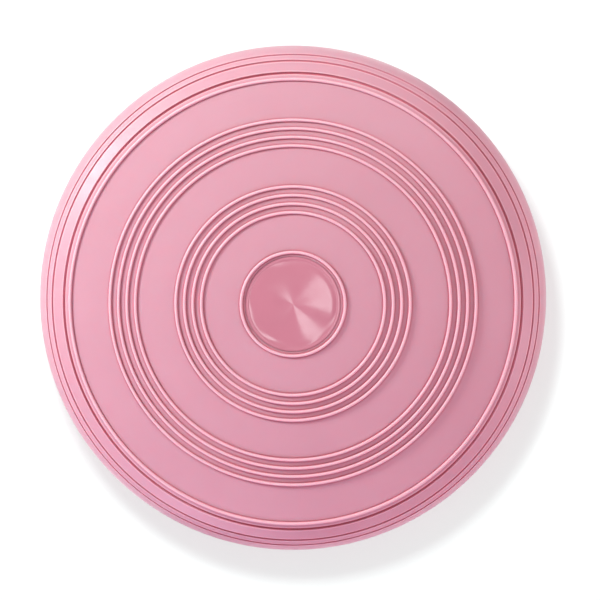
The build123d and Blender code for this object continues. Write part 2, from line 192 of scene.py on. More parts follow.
# name, azimuth, elevation, distance, size, watts, colour
raking = studio_lamp("raking lamp", 148, 23, 3.4, 0.7, 125, (0.87, 1.0, 0.95))
overhead = studio_lamp("overhead lamp", 84, 46, 3.2, 1.3, 35, (1.0, 0.97, 0.97))
edge_lift = studio_lamp("edge lamp", -10, 13, 2.6, 1.6, 31, (1.0, 0.84, 0.92))
violet_lift = studio_lamp("violet lamp", -114, 22, 2.6, 1.4, 33, (0.92, 0.72, 1.0))
shadow_lamp = studio_lamp("shadow lamp", 109, 70, 3.0, 0.4, 36)
floor_wash = studio_lamp("floor wash", 90, 89, 6.0, 6.0, 336, (0.96, 1.0, 0.995))
for lamp in (raking, overhead, edge_lift, violet_lift):
    link_only(lamp, floor, "EXCLUDE")
for lamp in (shadow_lamp, floor_wash):
    link_only(lamp, floor, "INCLUDE")
no_blockers = bpy.data.collections.new("no blockers")
no_blockers.objects.link(camera)
floor_wash.light_linking.blocker_collection = no_blockers

# %% [markdown]
# The air around the trainer is a faint warm light. It is stronger at the sides than overhead, and its pink,
# against the cooler raking lamp, turns the ring shadows red. It falls away below the horizon. The camera
# alone sees a plain pale backdrop in its place, so the light and the picture's background are set apart
# from one another.

# %% The air
SIDE_LIGHT = 0.77
TOP_LIGHT = 0.205
TOP_STARTS = 0.75
DARK_BELOW = -0.3
BELOW_SHARE = 0.2

world = bpy.data.worlds.new("studio air")
bpy.context.scene.world = world
world.use_nodes = True
air = world.node_tree
air_place = air.nodes.new("ShaderNodeTexCoord")
air_split = air.nodes.new("ShaderNodeSeparateXYZ")
air.links.new(air_place.outputs["Generated"], air_split.inputs["Vector"])
air_strength = air.nodes.new("ShaderNodeMath")
air_strength.operation = "MULTIPLY"
above = ramp(air, air_split.outputs["Z"], 0.0, TOP_STARTS, SIDE_LIGHT, TOP_LIGHT)
below = ramp(air, air_split.outputs["Z"], DARK_BELOW, 0.0, BELOW_SHARE, 1.0)
air.links.new(above, air_strength.inputs[0])
air.links.new(below, air_strength.inputs[1])
air.links.new(air_strength.outputs["Value"], air.nodes["Background"].inputs["Strength"])
air.nodes["Background"].inputs["Color"].default_value = (1.0, 0.68, 0.73, 1)
backdrop = air.nodes.new("ShaderNodeBackground")
backdrop.inputs["Color"].default_value = (0.90, 0.90, 0.90, 1)
what_sees = air.nodes.new("ShaderNodeLightPath")
pick = air.nodes.new("ShaderNodeMixShader")
air.links.new(what_sees.outputs["Is Camera Ray"], pick.inputs["Fac"])
air.links.new(air.nodes["Background"].outputs["Background"], pick.inputs[1])
air.links.new(backdrop.outputs["Background"], pick.inputs[2])
air.links.new(pick.outputs["Shader"], air.nodes["World Output"].inputs["Surface"])
bpy.context.scene.view_settings.view_transform = "Standard"
bpy.context.scene.view_settings.look = "None"
print("air strength from", SIDE_LIGHT, "at the sides to", TOP_LIGHT, "overhead")

# %% [markdown]
# ## Soft PVC
#
# The dome is moulded PVC with a satin skin. On the real thing the colour is not perfectly even: it drifts a
# little over a hand's width, and the skin has a very fine pebble from the mould, finer than half a
# millimetre. Both are noises in object space, so nothing is painted from the camera's side. Light enters
# the material a little, and subsurface scattering gives that milky depth.

# %% Noise, mixing and bump
def object_noise(tree, scale, detail=2.0, roughness=0.5):
    """Noise that sticks to the object, with its scale in features for each metre."""
    place = tree.nodes.new("ShaderNodeTexCoord")
    noise = add_node(tree, "ShaderNodeTexNoise", Scale=scale, Detail=detail, Roughness=roughness)
    tree.links.new(place.outputs["Object"], noise.inputs["Vector"])
    return noise.outputs["Fac"]


def spread(tree, source, low, high):
    """Maps the middle of a noise to a range of numbers."""
    return ramp(tree, source, 0.3, 0.7, low, high)


def mix_colours(tree, factor, first, second):
    """Mixes two colours, or two colour outputs, by a factor output."""
    node = tree.nodes.new("ShaderNodeMix")
    node.data_type = "RGBA"
    tree.links.new(factor, node.inputs["Factor"])
    for socket, value in (("A", first), ("B", second)):
        entry = [item for item in node.inputs if item.name == socket and item.type == "RGBA"][0]
        if isinstance(value, tuple):
            entry.default_value = (*value, 1)
        else:
            tree.links.new(value, entry)
    return [item for item in node.outputs if item.type == "RGBA"][0]


def bump(tree, height, distance, strength=1.0, normal=None):
    """A bump of a real height in metres, laid over another bump if one is given."""
    node = add_node(tree, "ShaderNodeBump", Strength=strength, Distance=distance)
    tree.links.new(height, node.inputs["Height"])
    if normal is not None:
        tree.links.new(normal, node.inputs["Normal"])
    return node.outputs["Normal"]


# %% [markdown]
# The material reads a mark called relief from the mesh: crests are mixed towards a paler pink, a painted
# highlight, and hollows towards a deep one, a painted shade. A fine pebble and a slow wave then bend the
# light without changing the shape.

# %% Soft PVC material
def soft_pvc(name, colour, shade, crest, crease):
    """Satin PVC: drifting colour, painted crest highlight, painted hollow shade, fine moulded pebble."""
    material, tree, shader = new_material(name)
    drift = spread(tree, object_noise(tree, 9.0, 3.0), 0.0, 1.0)
    base = mix_colours(tree, drift, colour, shade)
    relief = tree.nodes.new("ShaderNodeAttribute")
    relief.attribute_name = "relief"
    # Positive relief mixes towards the crest colour: a painted highlight on the crests.
    crest_highlighted = mix_colours(tree, ramp(tree, relief.outputs["Fac"], 0.1, 1.0, 0.0, 0.9), base, crest)
    # Negative relief mixes towards the crease colour: painted shade in hollows and at the beads' feet.
    hollow = ramp(tree, relief.outputs["Fac"], 0.0, -1.0, 0.0, 0.9)
    tree.links.new(mix_colours(tree, hollow, crest_highlighted, crease), shader.inputs["Base Color"])
    rough = spread(tree, object_noise(tree, 60.0, 3.0), 0.40, 0.50)
    tree.links.new(rough, shader.inputs["Roughness"])
    pebble = bump(tree, object_noise(tree, 2600.0, 1.0), mm(0.05), 0.35)
    wave = bump(tree, object_noise(tree, 28.0, 1.0), mm(0.25), 0.4, pebble)
    tree.links.new(wave, shader.inputs["Normal"])
    shader.inputs["Specular IOR Level"].default_value = 0.45
    shader.inputs["Subsurface Weight"].default_value = 0.4
    shader.inputs["Subsurface Radius"].default_value = (1.0, 0.2, 0.25)
    shader.inputs["Subsurface Scale"].default_value = mm(2.5)
    shader.inputs["Sheen Weight"].default_value = 0.4
    shader.inputs["Sheen Roughness"].default_value = 0.35
    shader.inputs["Sheen Tint"].default_value = (1.0, 0.82, 0.89, 1)
    return material


DOME_PINK = (0.692, 0.360, 0.438)
DOME_SHADE = (0.669, 0.341, 0.418)
# The paler crest colour is a painted highlight and the deep crease colour a painted shade.
CREST_HIGHLIGHT_PINK = (0.90, 0.57, 0.64)
CREASE_SHADE_PINK = (0.62, 0.15, 0.20)
dome_pvc = soft_pvc("dome pvc", DOME_PINK, DOME_SHADE, CREST_HIGHLIGHT_PINK, CREASE_SHADE_PINK)
print("made", dome_pvc.name)

# %% [markdown]
# ## Turning a profile
#
# Nearly every piece of this trainer is round, so one tool makes most of it: a lathe, which turns an outline
# of (radius, height) points about an axis. A modifier could do the same, but building the mesh directly
# gives clean quads, one vertex at each pole and an exact number of faces.

# %% The lathe
def lathe(name, profile, segments, closed=False, matrix=None):
    """Turns (radius, height) points about Z into a mesh object. A closed profile ends where it starts.
    A third number on a point is its relief: 1 paints a crest highlight, -1 paints hollow shade; kept as an
    attribute."""
    vertices, rows, relief = [], [], []
    for r, z, *marks in profile:
        copies = segments if r > 1e-7 else 1
        rows.append([len(vertices) + n % copies for n in range(segments)])
        relief += (marks or [0.0]) * copies
        for n in range(copies):
            turn = 2 * pi * n / segments
            vertices.append((r * cos(turn), r * sin(turn), z))
    faces = []
    pairs = list(zip(rows, rows[1:]))
    if closed:
        pairs.append((rows[-1], rows[0]))
    for lower, upper in pairs:
        for n in range(segments):
            m = (n + 1) % segments
            corners = [lower[n], lower[m], upper[m], upper[n]]
            corners = [c for i, c in enumerate(corners) if c not in corners[:i]]
            if len(corners) > 2:
                faces.append(corners)
    mesh = bpy.data.meshes.new(name)
    mesh.from_pydata(vertices, [], faces)
    mesh.attributes.new("relief", "FLOAT", "POINT").data.foreach_set("value", relief)
    if matrix is not None:
        mesh.transform(matrix)
    made = new_object(name, mesh)
    tidy_normals(made)
    return made


def tidy_normals(made, crease=38):
    """Faces outwards, shades smoothly and keeps edges sharper than the crease angle crisp."""
    work = bmesh.new()
    work.from_mesh(made.data)
    bmesh.ops.recalc_face_normals(work, faces=work.faces)
    work.to_mesh(made.data)
    work.free()
    made.data.polygons.foreach_set("use_smooth", [True] * len(made.data.polygons))
    made.data.set_sharp_from_angle(angle=radians(crease))


def arc(centre_r, centre_z, radius, start, end, steps):
    """Points along an arc, with its angles in degrees from the outward direction."""
    turns = [radians(start + (end - start) * n / steps) for n in range(steps + 1)]
    return [(centre_r + radius * cos(turn), centre_z + radius * sin(turn)) for turn in turns]


# %% [markdown]
# ## The dome
#
# The dome's outline is three arcs that meet smoothly: a flat crown, a rounded shoulder and a side that
# tucks in above the platform. The ridges are beads, and the fine lines are grooves, all standing on that
# outline. It is easier to place them along the skin than in radius and height, so one function walks the
# skin and gives, for each distance from the pole, the point and the direction outwards. A feature is then a
# few points in (distance, height) that the walk bends into place.

# %% The skin's walk
SHOULDER = mm(50)
SIDE = mm(75)
OVERHANG = mm(30)
WALL = mm(3.5)
LIP_HEIGHT = mm(16)
BEAD_HEIGHT = mm(6)
BEAD_WIDTH = mm(3.5)
CROWN_RISE = mm(75)

LIP_RADIUS = DOME_RADIUS - OVERHANG
SIDE_CENTRE = DOME_RADIUS - SIDE
SIDE_DROP = sqrt(SIDE**2 - (LIP_RADIUS - SIDE_CENTRE) ** 2)
WIDEST = SEAT_HEIGHT + LIP_HEIGHT + SIDE_DROP
TOP = WIDEST + CROWN_RISE
SHOULDER_CENTRE = DOME_RADIUS - SHOULDER
CROWN = (SHOULDER_CENTRE**2 + CROWN_RISE**2 - SHOULDER**2) / (2 * (CROWN_RISE - SHOULDER))
CROWN_ANGLE = asin(SHOULDER_CENTRE / (CROWN - SHOULDER))
CROWN_LENGTH = CROWN * CROWN_ANGLE
SHOULDER_LENGTH = SHOULDER * (pi / 2 - CROWN_ANGLE)
SIDE_LENGTH = SIDE * acos((LIP_RADIUS - SIDE_CENTRE) / SIDE)


def skin(walk, height=0.0, relief=0.0):
    """The (radius, height, relief) point at a distance along the skin from the pole, lifted by a height."""
    if walk < CROWN_LENGTH:
        lean_out = walk / CROWN
        centre, radius = (0.0, TOP - CROWN), CROWN
    elif walk < CROWN_LENGTH + SHOULDER_LENGTH:
        lean_out = CROWN_ANGLE + (walk - CROWN_LENGTH) / SHOULDER
        centre, radius = (SHOULDER_CENTRE, WIDEST), SHOULDER
    else:
        lean_out = pi / 2 + (walk - CROWN_LENGTH - SHOULDER_LENGTH) / SIDE
        centre, radius = (SIDE_CENTRE, WIDEST), SIDE
    reach = radius + height
    return centre[0] + reach * sin(lean_out), centre[1] + reach * cos(lean_out), relief


def walk_to(radius):
    """How far along the skin the crown or shoulder reaches a radius."""
    if radius < CROWN * sin(CROWN_ANGLE):
        return CROWN * asin(radius / CROWN)
    return CROWN_LENGTH + SHOULDER * (asin((radius - SHOULDER_CENTRE) / SHOULDER) - CROWN_ANGLE)


print("widest line at", round(WIDEST, 4), "crown at", round(TOP, 4), "crown radius", round(CROWN, 3))

# %% [markdown]
# A bead's cross-section is most of a half circle with a small fillet where it meets the skin, and a groove
# is a small hollow with softened lips. The parting line, where the mould's halves met, is a hair of flash.
# All three are short lists of points. Each point also carries a relief mark, which the material reads:
# crests are painted paler, a painted highlight, and the hollows and the beads' feet deeper, a painted shade.

# %% Beads and grooves
def bead_points(radius, lift, foot, fade):
    """A round bead standing on the skin, as (distance, height, relief) from its middle."""
    start = degrees(asin(-lift / radius))
    steps = 12
    turns = [radians(180 - start - (180 - 2 * start) * n / steps) for n in range(steps + 1)]
    # Relief along the crown: 1 at the top, a painted highlight, falling to painted shade low on the flanks.
    crown = [(radius * cos(turn), radius * sin(turn) + lift, 1.6 * sin(turn) - 0.6) for turn in turns]
    edge = crown[-1][0]
    # The feet are painted darker, a painted shade, strongest at the foot and fading out over the fade width.
    outer_foot = [
        (edge + foot * 0.1, -foot * 0.5, -1.0),
        (edge + foot * 0.6, -foot * 0.3, -0.75),
        (edge + foot, 0, -0.45),
        (edge + foot + fade * 0.5, 0, -0.22),
        (edge + foot + fade, 0, 0.0),
    ]
    inner_foot = [(-along, height, mark) for along, height, mark in reversed(outer_foot)]
    return [*inner_foot, *crown, *outer_foot]


def groove_points(half_width, depth, lip, lift):
    """A rounded hollow cut into the skin, with softened lips that stand proud by a lift. The hollow is
    painted darker as shade and the lips paler as a highlight.
    """
    steps = 8
    turns = [pi * n / steps for n in range(steps + 1)]
    brink = lift - lip * 0.25
    # The hollow's relief paints it darker, a painted shade, most at its bottom.
    hollow = [(-half_width * cos(turn), brink - depth * sin(turn) ** 0.8, -sin(turn)) for turn in turns]
    # The lips' relief paints them paler, a painted highlight.
    outer_lip = [(half_width + lip * 0.6, lift - lip * 0.06, 0.7), (half_width + lip * 1.6, lift * 0.8, 0.5)]
    outer_lip += [(half_width + lip * 1.6 + mm(1.0), 0, 0.0)]
    inner_lip = [(-along, height, mark) for along, height, mark in reversed(outer_lip)]
    return [*inner_lip, *hollow, *outer_lip]


RIDGE = bead_points(mm(1.85), mm(0.8), mm(0.6), mm(2.4))
OUTER_RIDGE = bead_points(mm(2.0), mm(0.8), mm(0.6), mm(0.8))
DEEP_GROOVE = groove_points(mm(1.6), mm(2.8), mm(0.6), mm(0.15))
FINE_GROOVE = groove_points(mm(1.4), mm(2.1), mm(0.6), mm(0.3))
# The flash's relief of 0.6 paints its crest a little paler, a painted highlight.
PARTING_LINE = [(-mm(0.6), 0, 0), (-mm(0.25), mm(0.22), 0.6), (mm(0.25), mm(0.22), 0.6), (mm(0.6), 0, 0)]
print("a ridge has", len(RIDGE), "points and a groove", len(DEEP_GROOVE))

# %% [markdown]
# From the centre outwards there are one ridge round the badge, two groups of four, and one ridge with a
# deep groove on the shoulder. Fine grooves follow near the widest line, two above it and two below. The
# ones on the shoulder are placed by how far they sit inside the widest line, and those below by their angle
# round the side.

# %% Places of the ridges and grooves
BADGE_RIDGE = mm(58.9)
INNER_GROUP = mm(103.9)
OUTER_GROUP = mm(178.9)
RIDGE_PITCH = mm(9.65)
RIDGES_IN_GROUP = 4
OUTER_RIDGE_INSET = mm(36.4)
DEEP_GROOVE_INSET = mm(29.2)
FINE_GROOVE_INSETS = (mm(15.7), mm(9.1))
SIDE_GROOVE_ANGLES = (10, 15)

inner_group = [INNER_GROUP + RIDGE_PITCH * n for n in range(RIDGES_IN_GROUP)]
outer_group = [OUTER_GROUP + RIDGE_PITCH * n for n in range(RIDGES_IN_GROUP)]
ridges = [BADGE_RIDGE, *inner_group, *outer_group]
side_start = CROWN_LENGTH + SHOULDER_LENGTH
features = [(walk_to(r), RIDGE) for r in ridges]
features += [(walk_to(DOME_RADIUS - OUTER_RIDGE_INSET), OUTER_RIDGE)]
features += [(walk_to(DOME_RADIUS - DEEP_GROOVE_INSET), DEEP_GROOVE)]
features += [(walk_to(DOME_RADIUS - inset), FINE_GROOVE) for inset in FINE_GROOVE_INSETS]
features += [(side_start, PARTING_LINE)]
features += [(side_start + SIDE * radians(angle), FINE_GROOVE) for angle in SIDE_GROOVE_ANGLES]
features.sort(key=lambda feature: feature[0])
print(len(ridges) + 1, "ridges,", len(features) - len(ridges) - 2, "grooves and a parting line")

# %% [markdown]
# The whole outline is the skin's walk with those lists dropped in at their places and plain points between
# them. It starts in the shallow seat under the badge, runs out over the crown and down the side, turns
# round the bead that the ring holds, and comes back along the inside of the wall.

# %% The dome's outline
BADGE_HOLE = badge_high.x + mm(0.3)
BADGE_RECESS = mm(1.0)
HOLE_EDGE = mm(0.25)
HOLE_STEPS = 8
INSIDE_STEPS = 40
PLAIN_STEP = mm(5)


def plain_walk(start, end):
    """Plain points between two places on the skin, not counting the places themselves."""
    steps = max(1, round((end - start) / PLAIN_STEP))
    return [start + (end - start) * n / steps for n in range(1, steps)]


reached = walk_to(BADGE_HOLE)
outline = [skin(reached * n / HOLE_STEPS, -BADGE_RECESS) for n in range(HOLE_STEPS + 1)]
outline += [skin(reached, -HOLE_EDGE), skin(reached + HOLE_EDGE)]
for place, points in features:
    outline += [skin(walk) for walk in plain_walk(reached, place + points[0][0])]
    outline += [skin(place + along, height, mark) for along, height, mark in points]
    reached = place + points[-1][0]
side_end = side_start + SIDE_LENGTH
outline += [skin(walk) for walk in plain_walk(reached, side_end)] + [skin(side_end)]
BEAD_TOP = SEAT_HEIGHT + BEAD_HEIGHT
outline += [
    (LIP_RADIUS, BEAD_TOP),
    (LIP_RADIUS + BEAD_WIDTH, BEAD_TOP),
    (LIP_RADIUS + BEAD_WIDTH, SEAT_HEIGHT),
    (LIP_RADIUS - WALL, SEAT_HEIGHT),
]
inside = [skin(side_end * n / INSIDE_STEPS, -WALL) for n in range(INSIDE_STEPS + 1)]
outline += [point for point in reversed(inside) if point[0] < LIP_RADIUS - WALL or point[1] > WIDEST]
SEGMENTS = 240
dome = lathe("dome_skin", outline, SEGMENTS)
print("dome outline", len(outline), "points,", len(dome.data.polygons), "faces")

# %% [markdown]
# ## The valve's neck
#
# The dome is filled through a valve low on its front side, where nobody stands. The neck is moulded with
# the dome: a short thick-walled boss that a harder bush is pressed into. A round hole in a curved skin is
# awkward to model by hand, so a boolean cuts it, and a small lathe turned about the valve's own axis fills
# it with the boss. The cutter is wider than the bore but narrower than the boss, so the cut edge never
# shows.

# %% The valve's place
plug_axis = Vector(frame["joints"][0]["axis"]).normalized()
VALVE_TILT = asin(-plug_axis.z)
valve_foot = Vector((0, -(SIDE_CENTRE + SIDE * cos(VALVE_TILT)), WIDEST - SIDE * sin(VALVE_TILT)))
valve_place = Matrix.Translation(valve_foot) @ plug_axis.to_track_quat("Z", "X").to_matrix().to_4x4()
print("valve at", [round(value, 4) for value in valve_foot], "tilted", round(degrees(VALVE_TILT), 1))

# %% [markdown]
# The cutter is a plain turned plug standing across the wall. The cut makes new faces and edges, so the
# normals and the sharp edges are worked out again after it.

# %% Cut the hole
def cut_with(piece, cutter):
    """Cuts one mesh out of another for good, and throws the cutter away."""
    modifier = piece.modifiers.new("cut", "BOOLEAN")
    modifier.operation = "DIFFERENCE"
    modifier.solver = "MANIFOLD"
    modifier.object = cutter
    seen = piece.evaluated_get(bpy.context.evaluated_depsgraph_get())
    piece.modifiers.clear()
    old = piece.data
    piece.data = bpy.data.meshes.new_from_object(seen)
    piece.data.materials.clear()
    bpy.data.meshes.remove(old)
    bpy.data.objects.remove(cutter)


BOSS_RADIUS = mm(13)
BOSS_PROUD = mm(1.0)
NECK_BORE = mm(8)
NECK_DEPTH = mm(14)
CUTTER_RADIUS = mm(12)
CUTTER_DEPTH = mm(25)
CUTTER_RISE = mm(12)
CUTTER_SEGMENTS = 48
cutter_side = [(CUTTER_RADIUS, -CUTTER_DEPTH), (CUTTER_RADIUS, CUTTER_RISE)]
cutter_outline = [(0.0, -CUTTER_DEPTH), *cutter_side, (0.0, CUTTER_RISE)]
before_cut = len(dome.data.polygons)
cut_with(dome, lathe("cutter", cutter_outline, CUTTER_SEGMENTS, matrix=valve_place))
tidy_normals(dome)
print("dome faces", before_cut, "before the cut,", len(dome.data.polygons), "after")

# %% [markdown]
# The dome stands for the plain soft solid of the construction model, which is hidden. It is an air cushion.
# The neck belongs to the same moulding, so it is joined to it.

# %% Neck and dome finish
NECK_ROOT = mm(11.4)
NECK_SEGMENTS = 72
neck_outline = [
    (NECK_BORE, -NECK_DEPTH),
    (NECK_BORE, mm(0.3)),
    (NECK_BORE + mm(0.3), BOSS_PROUD - mm(0.1)),
    (NECK_BORE + mm(0.8), BOSS_PROUD),
    (BOSS_RADIUS - mm(1.0), BOSS_PROUD),
    # Relief marks: the boss's edge is painted paler, a painted highlight, and its joint with the skin
    # darker, a painted shade.
    (BOSS_RADIUS - mm(0.4), BOSS_PROUD - mm(0.15), 0.6),
    (BOSS_RADIUS, BOSS_PROUD - mm(0.7)),
    (BOSS_RADIUS + mm(0.05), -mm(0.6), -0.6),
    (BOSS_RADIUS + mm(0.7), -mm(1.6), -0.4),
    (BOSS_RADIUS - mm(0.3), -mm(2.6)),
    (NECK_ROOT, -mm(3.2)),
    (NECK_ROOT, -NECK_DEPTH),
]
neck = lathe("dome_neck", neck_outline, NECK_SEGMENTS, closed=True, matrix=valve_place)
dome.data.materials.append(dome_pvc)
neck.data.materials.append(dome_pvc)
with bpy.context.temp_override(active_object=dome, selected_editable_objects=[dome, neck]):
    bpy.ops.object.join()
print("dome and neck", len(dome.data.polygons), "faces")
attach(dome, "trainer")
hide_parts("dome_bladder")

# %% [markdown]
# ## The centre badge
#
# Inside the innermost ridge sits a thin glossy disc. The real one carries a printed mark, and here it is
# left bare. Its rim is a fine step, and the disc is not quite flat: pressed-in discs warp into shallow
# folds that fan out from the centre, by a few tenths of a millimetre, and break its reflections into
# wedges. The folds are in the mesh, and a small lamp of its own, almost straight above, gives the disc
# something bright to mirror.

# %% Centre badge
BADGE_RADIUS = badge_high.x
FLAT_SHARE = 0.93
FLAT_STEPS = 24
FLAT_SUNK = mm(0.42)
UPPER_FACE = mm(0.6)
FOLD_FADE = 9
FOLDS = ((1, 0.0054, 5.52), (2, 0.0049, 0.32), (3, 0.0045, 4.77), (5, 0.0041, 0.19), (6, 0.0014, 1.89))


def crown_height(r):
    """The height of the plain crown at a radius."""
    return sqrt(CROWN**2 - r**2) - CROWN + TOP


badge_rim = [(FLAT_SHARE, 0.36), (0.94, 0.14), (0.95, 0.06), (0.96, 0.04)]
badge_rim += [(0.985, 0.04), (1.0, 0.2), (1.0, 0.9), (0.0, 0.9)]
badge_outline = [(BADGE_RADIUS * n / FLAT_STEPS, -FLAT_SUNK) for n in range(FLAT_STEPS - 1)]
badge_outline += [(BADGE_RADIUS * share, -mm(drop)) for share, drop in badge_rim]
badge_outline = [(r, crown_height(r) + z) for r, z in badge_outline]
badge = lathe("badge_disc", badge_outline, SEGMENTS // 2)
flat_reach = BADGE_RADIUS * FLAT_SHARE
for vertex in badge.data.vertices:
    r = hypot(vertex.co.x, vertex.co.y)
    if r < flat_reach and vertex.co.z - crown_height(r) > -UPPER_FACE:
        turn = atan2(vertex.co.y, vertex.co.x)
        fade = min(1.0, FOLD_FADE * (1 - r / flat_reach))
        vertex.co.z += r * fade * sum(slope * cos(count * turn + start) for count, slope, start in FOLDS)
print("badge", len(badge.data.polygons), "faces")

# %% [markdown]
# The badge is glossy, so a thin clear coat lies over a nearly even colour. Its lamp lights nothing else.

# %% Badge finish
BADGE_PINK = (0.62, 0.235, 0.305)
BADGE_SHADE = (0.59, 0.222, 0.29)
badge_gloss, tree, shader = new_material("badge gloss")
drift = spread(tree, object_noise(tree, 30.0, 2.0), 0.0, 1.0)
tree.links.new(mix_colours(tree, drift, BADGE_PINK, BADGE_SHADE), shader.inputs["Base Color"])
tree.links.new(spread(tree, object_noise(tree, 90.0, 3.0), 0.10, 0.16), shader.inputs["Roughness"])
tree.links.new(bump(tree, object_noise(tree, 60.0, 2.0), mm(0.04), 0.5), shader.inputs["Normal"])
shader.inputs["Specular IOR Level"].default_value = 0.8
shader.inputs["Coat Weight"].default_value = 0.6
shader.inputs["Coat Roughness"].default_value = 0.08
shader.inputs["Coat IOR"].default_value = 1.5
badge_lamp = studio_lamp("badge lamp", -42.6, 83.2, 3.0, 0.48, 1.8, (0.9, 1.0, 1.0))
badge_lamp.data.shape = "DISK"
link_only(badge_lamp, badge, "INCLUDE")
badge.data.materials.append(badge_gloss)
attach(badge, "trainer")
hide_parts("centre_badge")
print("badge lamp", badge_lamp.data.energy, "W")

# %% [markdown]
# ## The moulded platform
#
# Below the dome everything is hard. The ring and the base are injection-moulded plastic in the dome's
# colour, a touch deeper. Such mouldings have a spark-eroded texture: a fine, even grain that scatters the
# light. Their sharp edges are painted paler, a painted highlight where edges catch a little more light. A
# second, harder noise gives small scuffs.

# %% Moulded plastic material
def moulded_plastic(name, colour, shade, edge, grain=1500.0, rough=(0.42, 0.55)):
    """Textured hard plastic: fine even grain, slight drift, painted edge highlight and small scuffs."""
    material, tree, shader = new_material(name)
    base = mix_colours(tree, spread(tree, object_noise(tree, 14.0, 3.0), 0.0, 1.0), colour, shade)
    geometry = tree.nodes.new("ShaderNodeNewGeometry")
    # Pointiness paints the sharp edges paler: a painted highlight.
    sharpness = ramp(tree, geometry.outputs["Pointiness"], 0.53, 0.62, 0.0, 0.7)
    edge_highlighted = mix_colours(tree, sharpness, base, edge)
    tree.links.new(edge_highlighted, shader.inputs["Base Color"])
    tree.links.new(spread(tree, object_noise(tree, 220.0, 4.0, 0.7), *rough), shader.inputs["Roughness"])
    scuff = bump(tree, object_noise(tree, 160.0, 6.0, 0.75), mm(0.08), 0.25)
    tree.links.new(bump(tree, object_noise(tree, grain, 1.0), mm(0.06), 0.5, scuff), shader.inputs["Normal"])
    shader.inputs["Specular IOR Level"].default_value = 0.5
    return material


# colour, drifted shade, painted edge highlight
PLATFORM_COLOURS = ((0.64, 0.25, 0.33), (0.60, 0.23, 0.305), (0.74, 0.36, 0.44))
DECK_COLOURS = ((0.10, 0.10, 0.11), (0.085, 0.085, 0.09), (0.16, 0.16, 0.17))
platform_plastic = moulded_plastic("platform plastic", *PLATFORM_COLOURS)
deck_plastic = moulded_plastic("deck plastic", *DECK_COLOURS)
print("made", platform_plastic.name, "and", deck_plastic.name)

# %% [markdown]
# The ring clamps the dome's rim. Its inside follows the dome's side at a small gap, so that the swollen
# dome has something to lean on, and its outer top edge is generously round because bare feet land on it. A
# small rebate at its foot makes an even shadow line over the base, as makers do to hide an uneven joint,
# and a fine groove divides its side. Corners given with a radius are easier to read than arcs, so a helper
# rounds them.

# %% Rounded outlines and the retaining ring
def rounded(corners, steps=6):
    """A closed outline from (radius, height, fillet) corners, each fillet drawn as an arc."""
    points = []
    for n, (r, z, fillet) in enumerate(corners):
        here = Vector((r, z))
        to_last = (Vector(corners[n - 1][:2]) - here).normalized()
        to_next = (Vector(corners[(n + 1) % len(corners)][:2]) - here).normalized()
        half = to_last.angle(to_next) / 2
        if fillet <= 0 or half > radians(88):
            points.append((r, z))
            continue
        middle = here + (to_last + to_next).normalized() * (fillet / sin(half))
        start = here + to_last * (fillet / sin(half)) * cos(half) - middle
        end = here + to_next * (fillet / sin(half)) * cos(half) - middle
        turn = start.angle_signed(end)
        for step in range(steps + 1):
            spun = Matrix.Rotation(-turn * step / steps, 2) @ start
            points.append(tuple(middle + spun))
    return points


RIM_GAP = mm(0.4)
FLARE = SIDE + RIM_GAP
flare_low = -degrees(acos((LIP_RADIUS - SIDE_CENTRE + RIM_GAP) / FLARE))
flare_high = -degrees(asin((WIDEST - ring_high.z) / FLARE))
flare = arc(SIDE_CENTRE, WIDEST, FLARE, flare_high, flare_low, 12)
FOOT_REBATE = mm(1.2)
REBATE_HEIGHT = mm(0.9)
RING_GROOVE = mm(0.9)
BEAD_COVER = BEAD_TOP + mm(0.2)
SKIRT_INSIDE = RING_RADIUS - mm(3)
RING_INSIDE = LIP_RADIUS + BEAD_WIDTH + mm(0.3)
ring_corners = [(r, z, 0) for r, z in flare[1:-1]]
ring_corners = [(flare[0][0], flare[0][1], mm(0.8)), *ring_corners]
ring_corners += [
    (LIP_RADIUS + RIM_GAP, BEAD_COVER, 0),
    (RING_INSIDE, BEAD_COVER, 0),
    (RING_INSIDE, SEAT_HEIGHT, 0),
    (SKIRT_INSIDE, SEAT_HEIGHT, 0),
    (SKIRT_INSIDE, ring_low.z, 0),
    (RING_RADIUS - FOOT_REBATE, ring_low.z, 0),
    (RING_RADIUS - FOOT_REBATE, ring_low.z + REBATE_HEIGHT, 0),
    (RING_RADIUS, ring_low.z + REBATE_HEIGHT, mm(0.5)),
    (RING_RADIUS, ring_low.z + mm(11.0), mm(0.4)),
    (RING_RADIUS - RING_GROOVE, ring_low.z + mm(11.3), mm(0.3)),
    (RING_RADIUS - RING_GROOVE, ring_low.z + mm(12.7), mm(0.3)),
    (RING_RADIUS, ring_low.z + mm(13.0), mm(0.4)),
    (RING_RADIUS, ring_high.z, mm(7)),
]
ring = lathe("retaining_ring_skin", rounded(ring_corners), SEGMENTS, closed=True)
ring.data.materials.append(platform_plastic)
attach(ring, "trainer")
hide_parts("retaining_ring")
print("ring", len(ring.data.polygons), "faces")

# %% [markdown]
# ## Rubber, steel and valve plastic
#
# The base, the deck, the valve seat, the grips, the feet and the screws keep the construction model's own
# meshes and only need finishes. Rubber is dull and slightly dusty, the grips have a soft grain, and the
# screws are zinc plated with a fine streaky roughness.

# %% Small finishes
def rubber(name, colour, dust, grain):
    """Matt rubber with pale dust in its noise and a soft grain."""
    material, tree, shader = new_material(name)
    dusty = spread(tree, object_noise(tree, 70.0, 5.0, 0.65), 0.0, 0.7)
    tree.links.new(mix_colours(tree, dusty, colour, dust), shader.inputs["Base Color"])
    tree.links.new(spread(tree, object_noise(tree, 300.0, 3.0), 0.62, 0.85), shader.inputs["Roughness"])
    tree.links.new(bump(tree, object_noise(tree, grain, 2.0), mm(0.15), 0.5), shader.inputs["Normal"])
    shader.inputs["Specular IOR Level"].default_value = 0.35
    return material


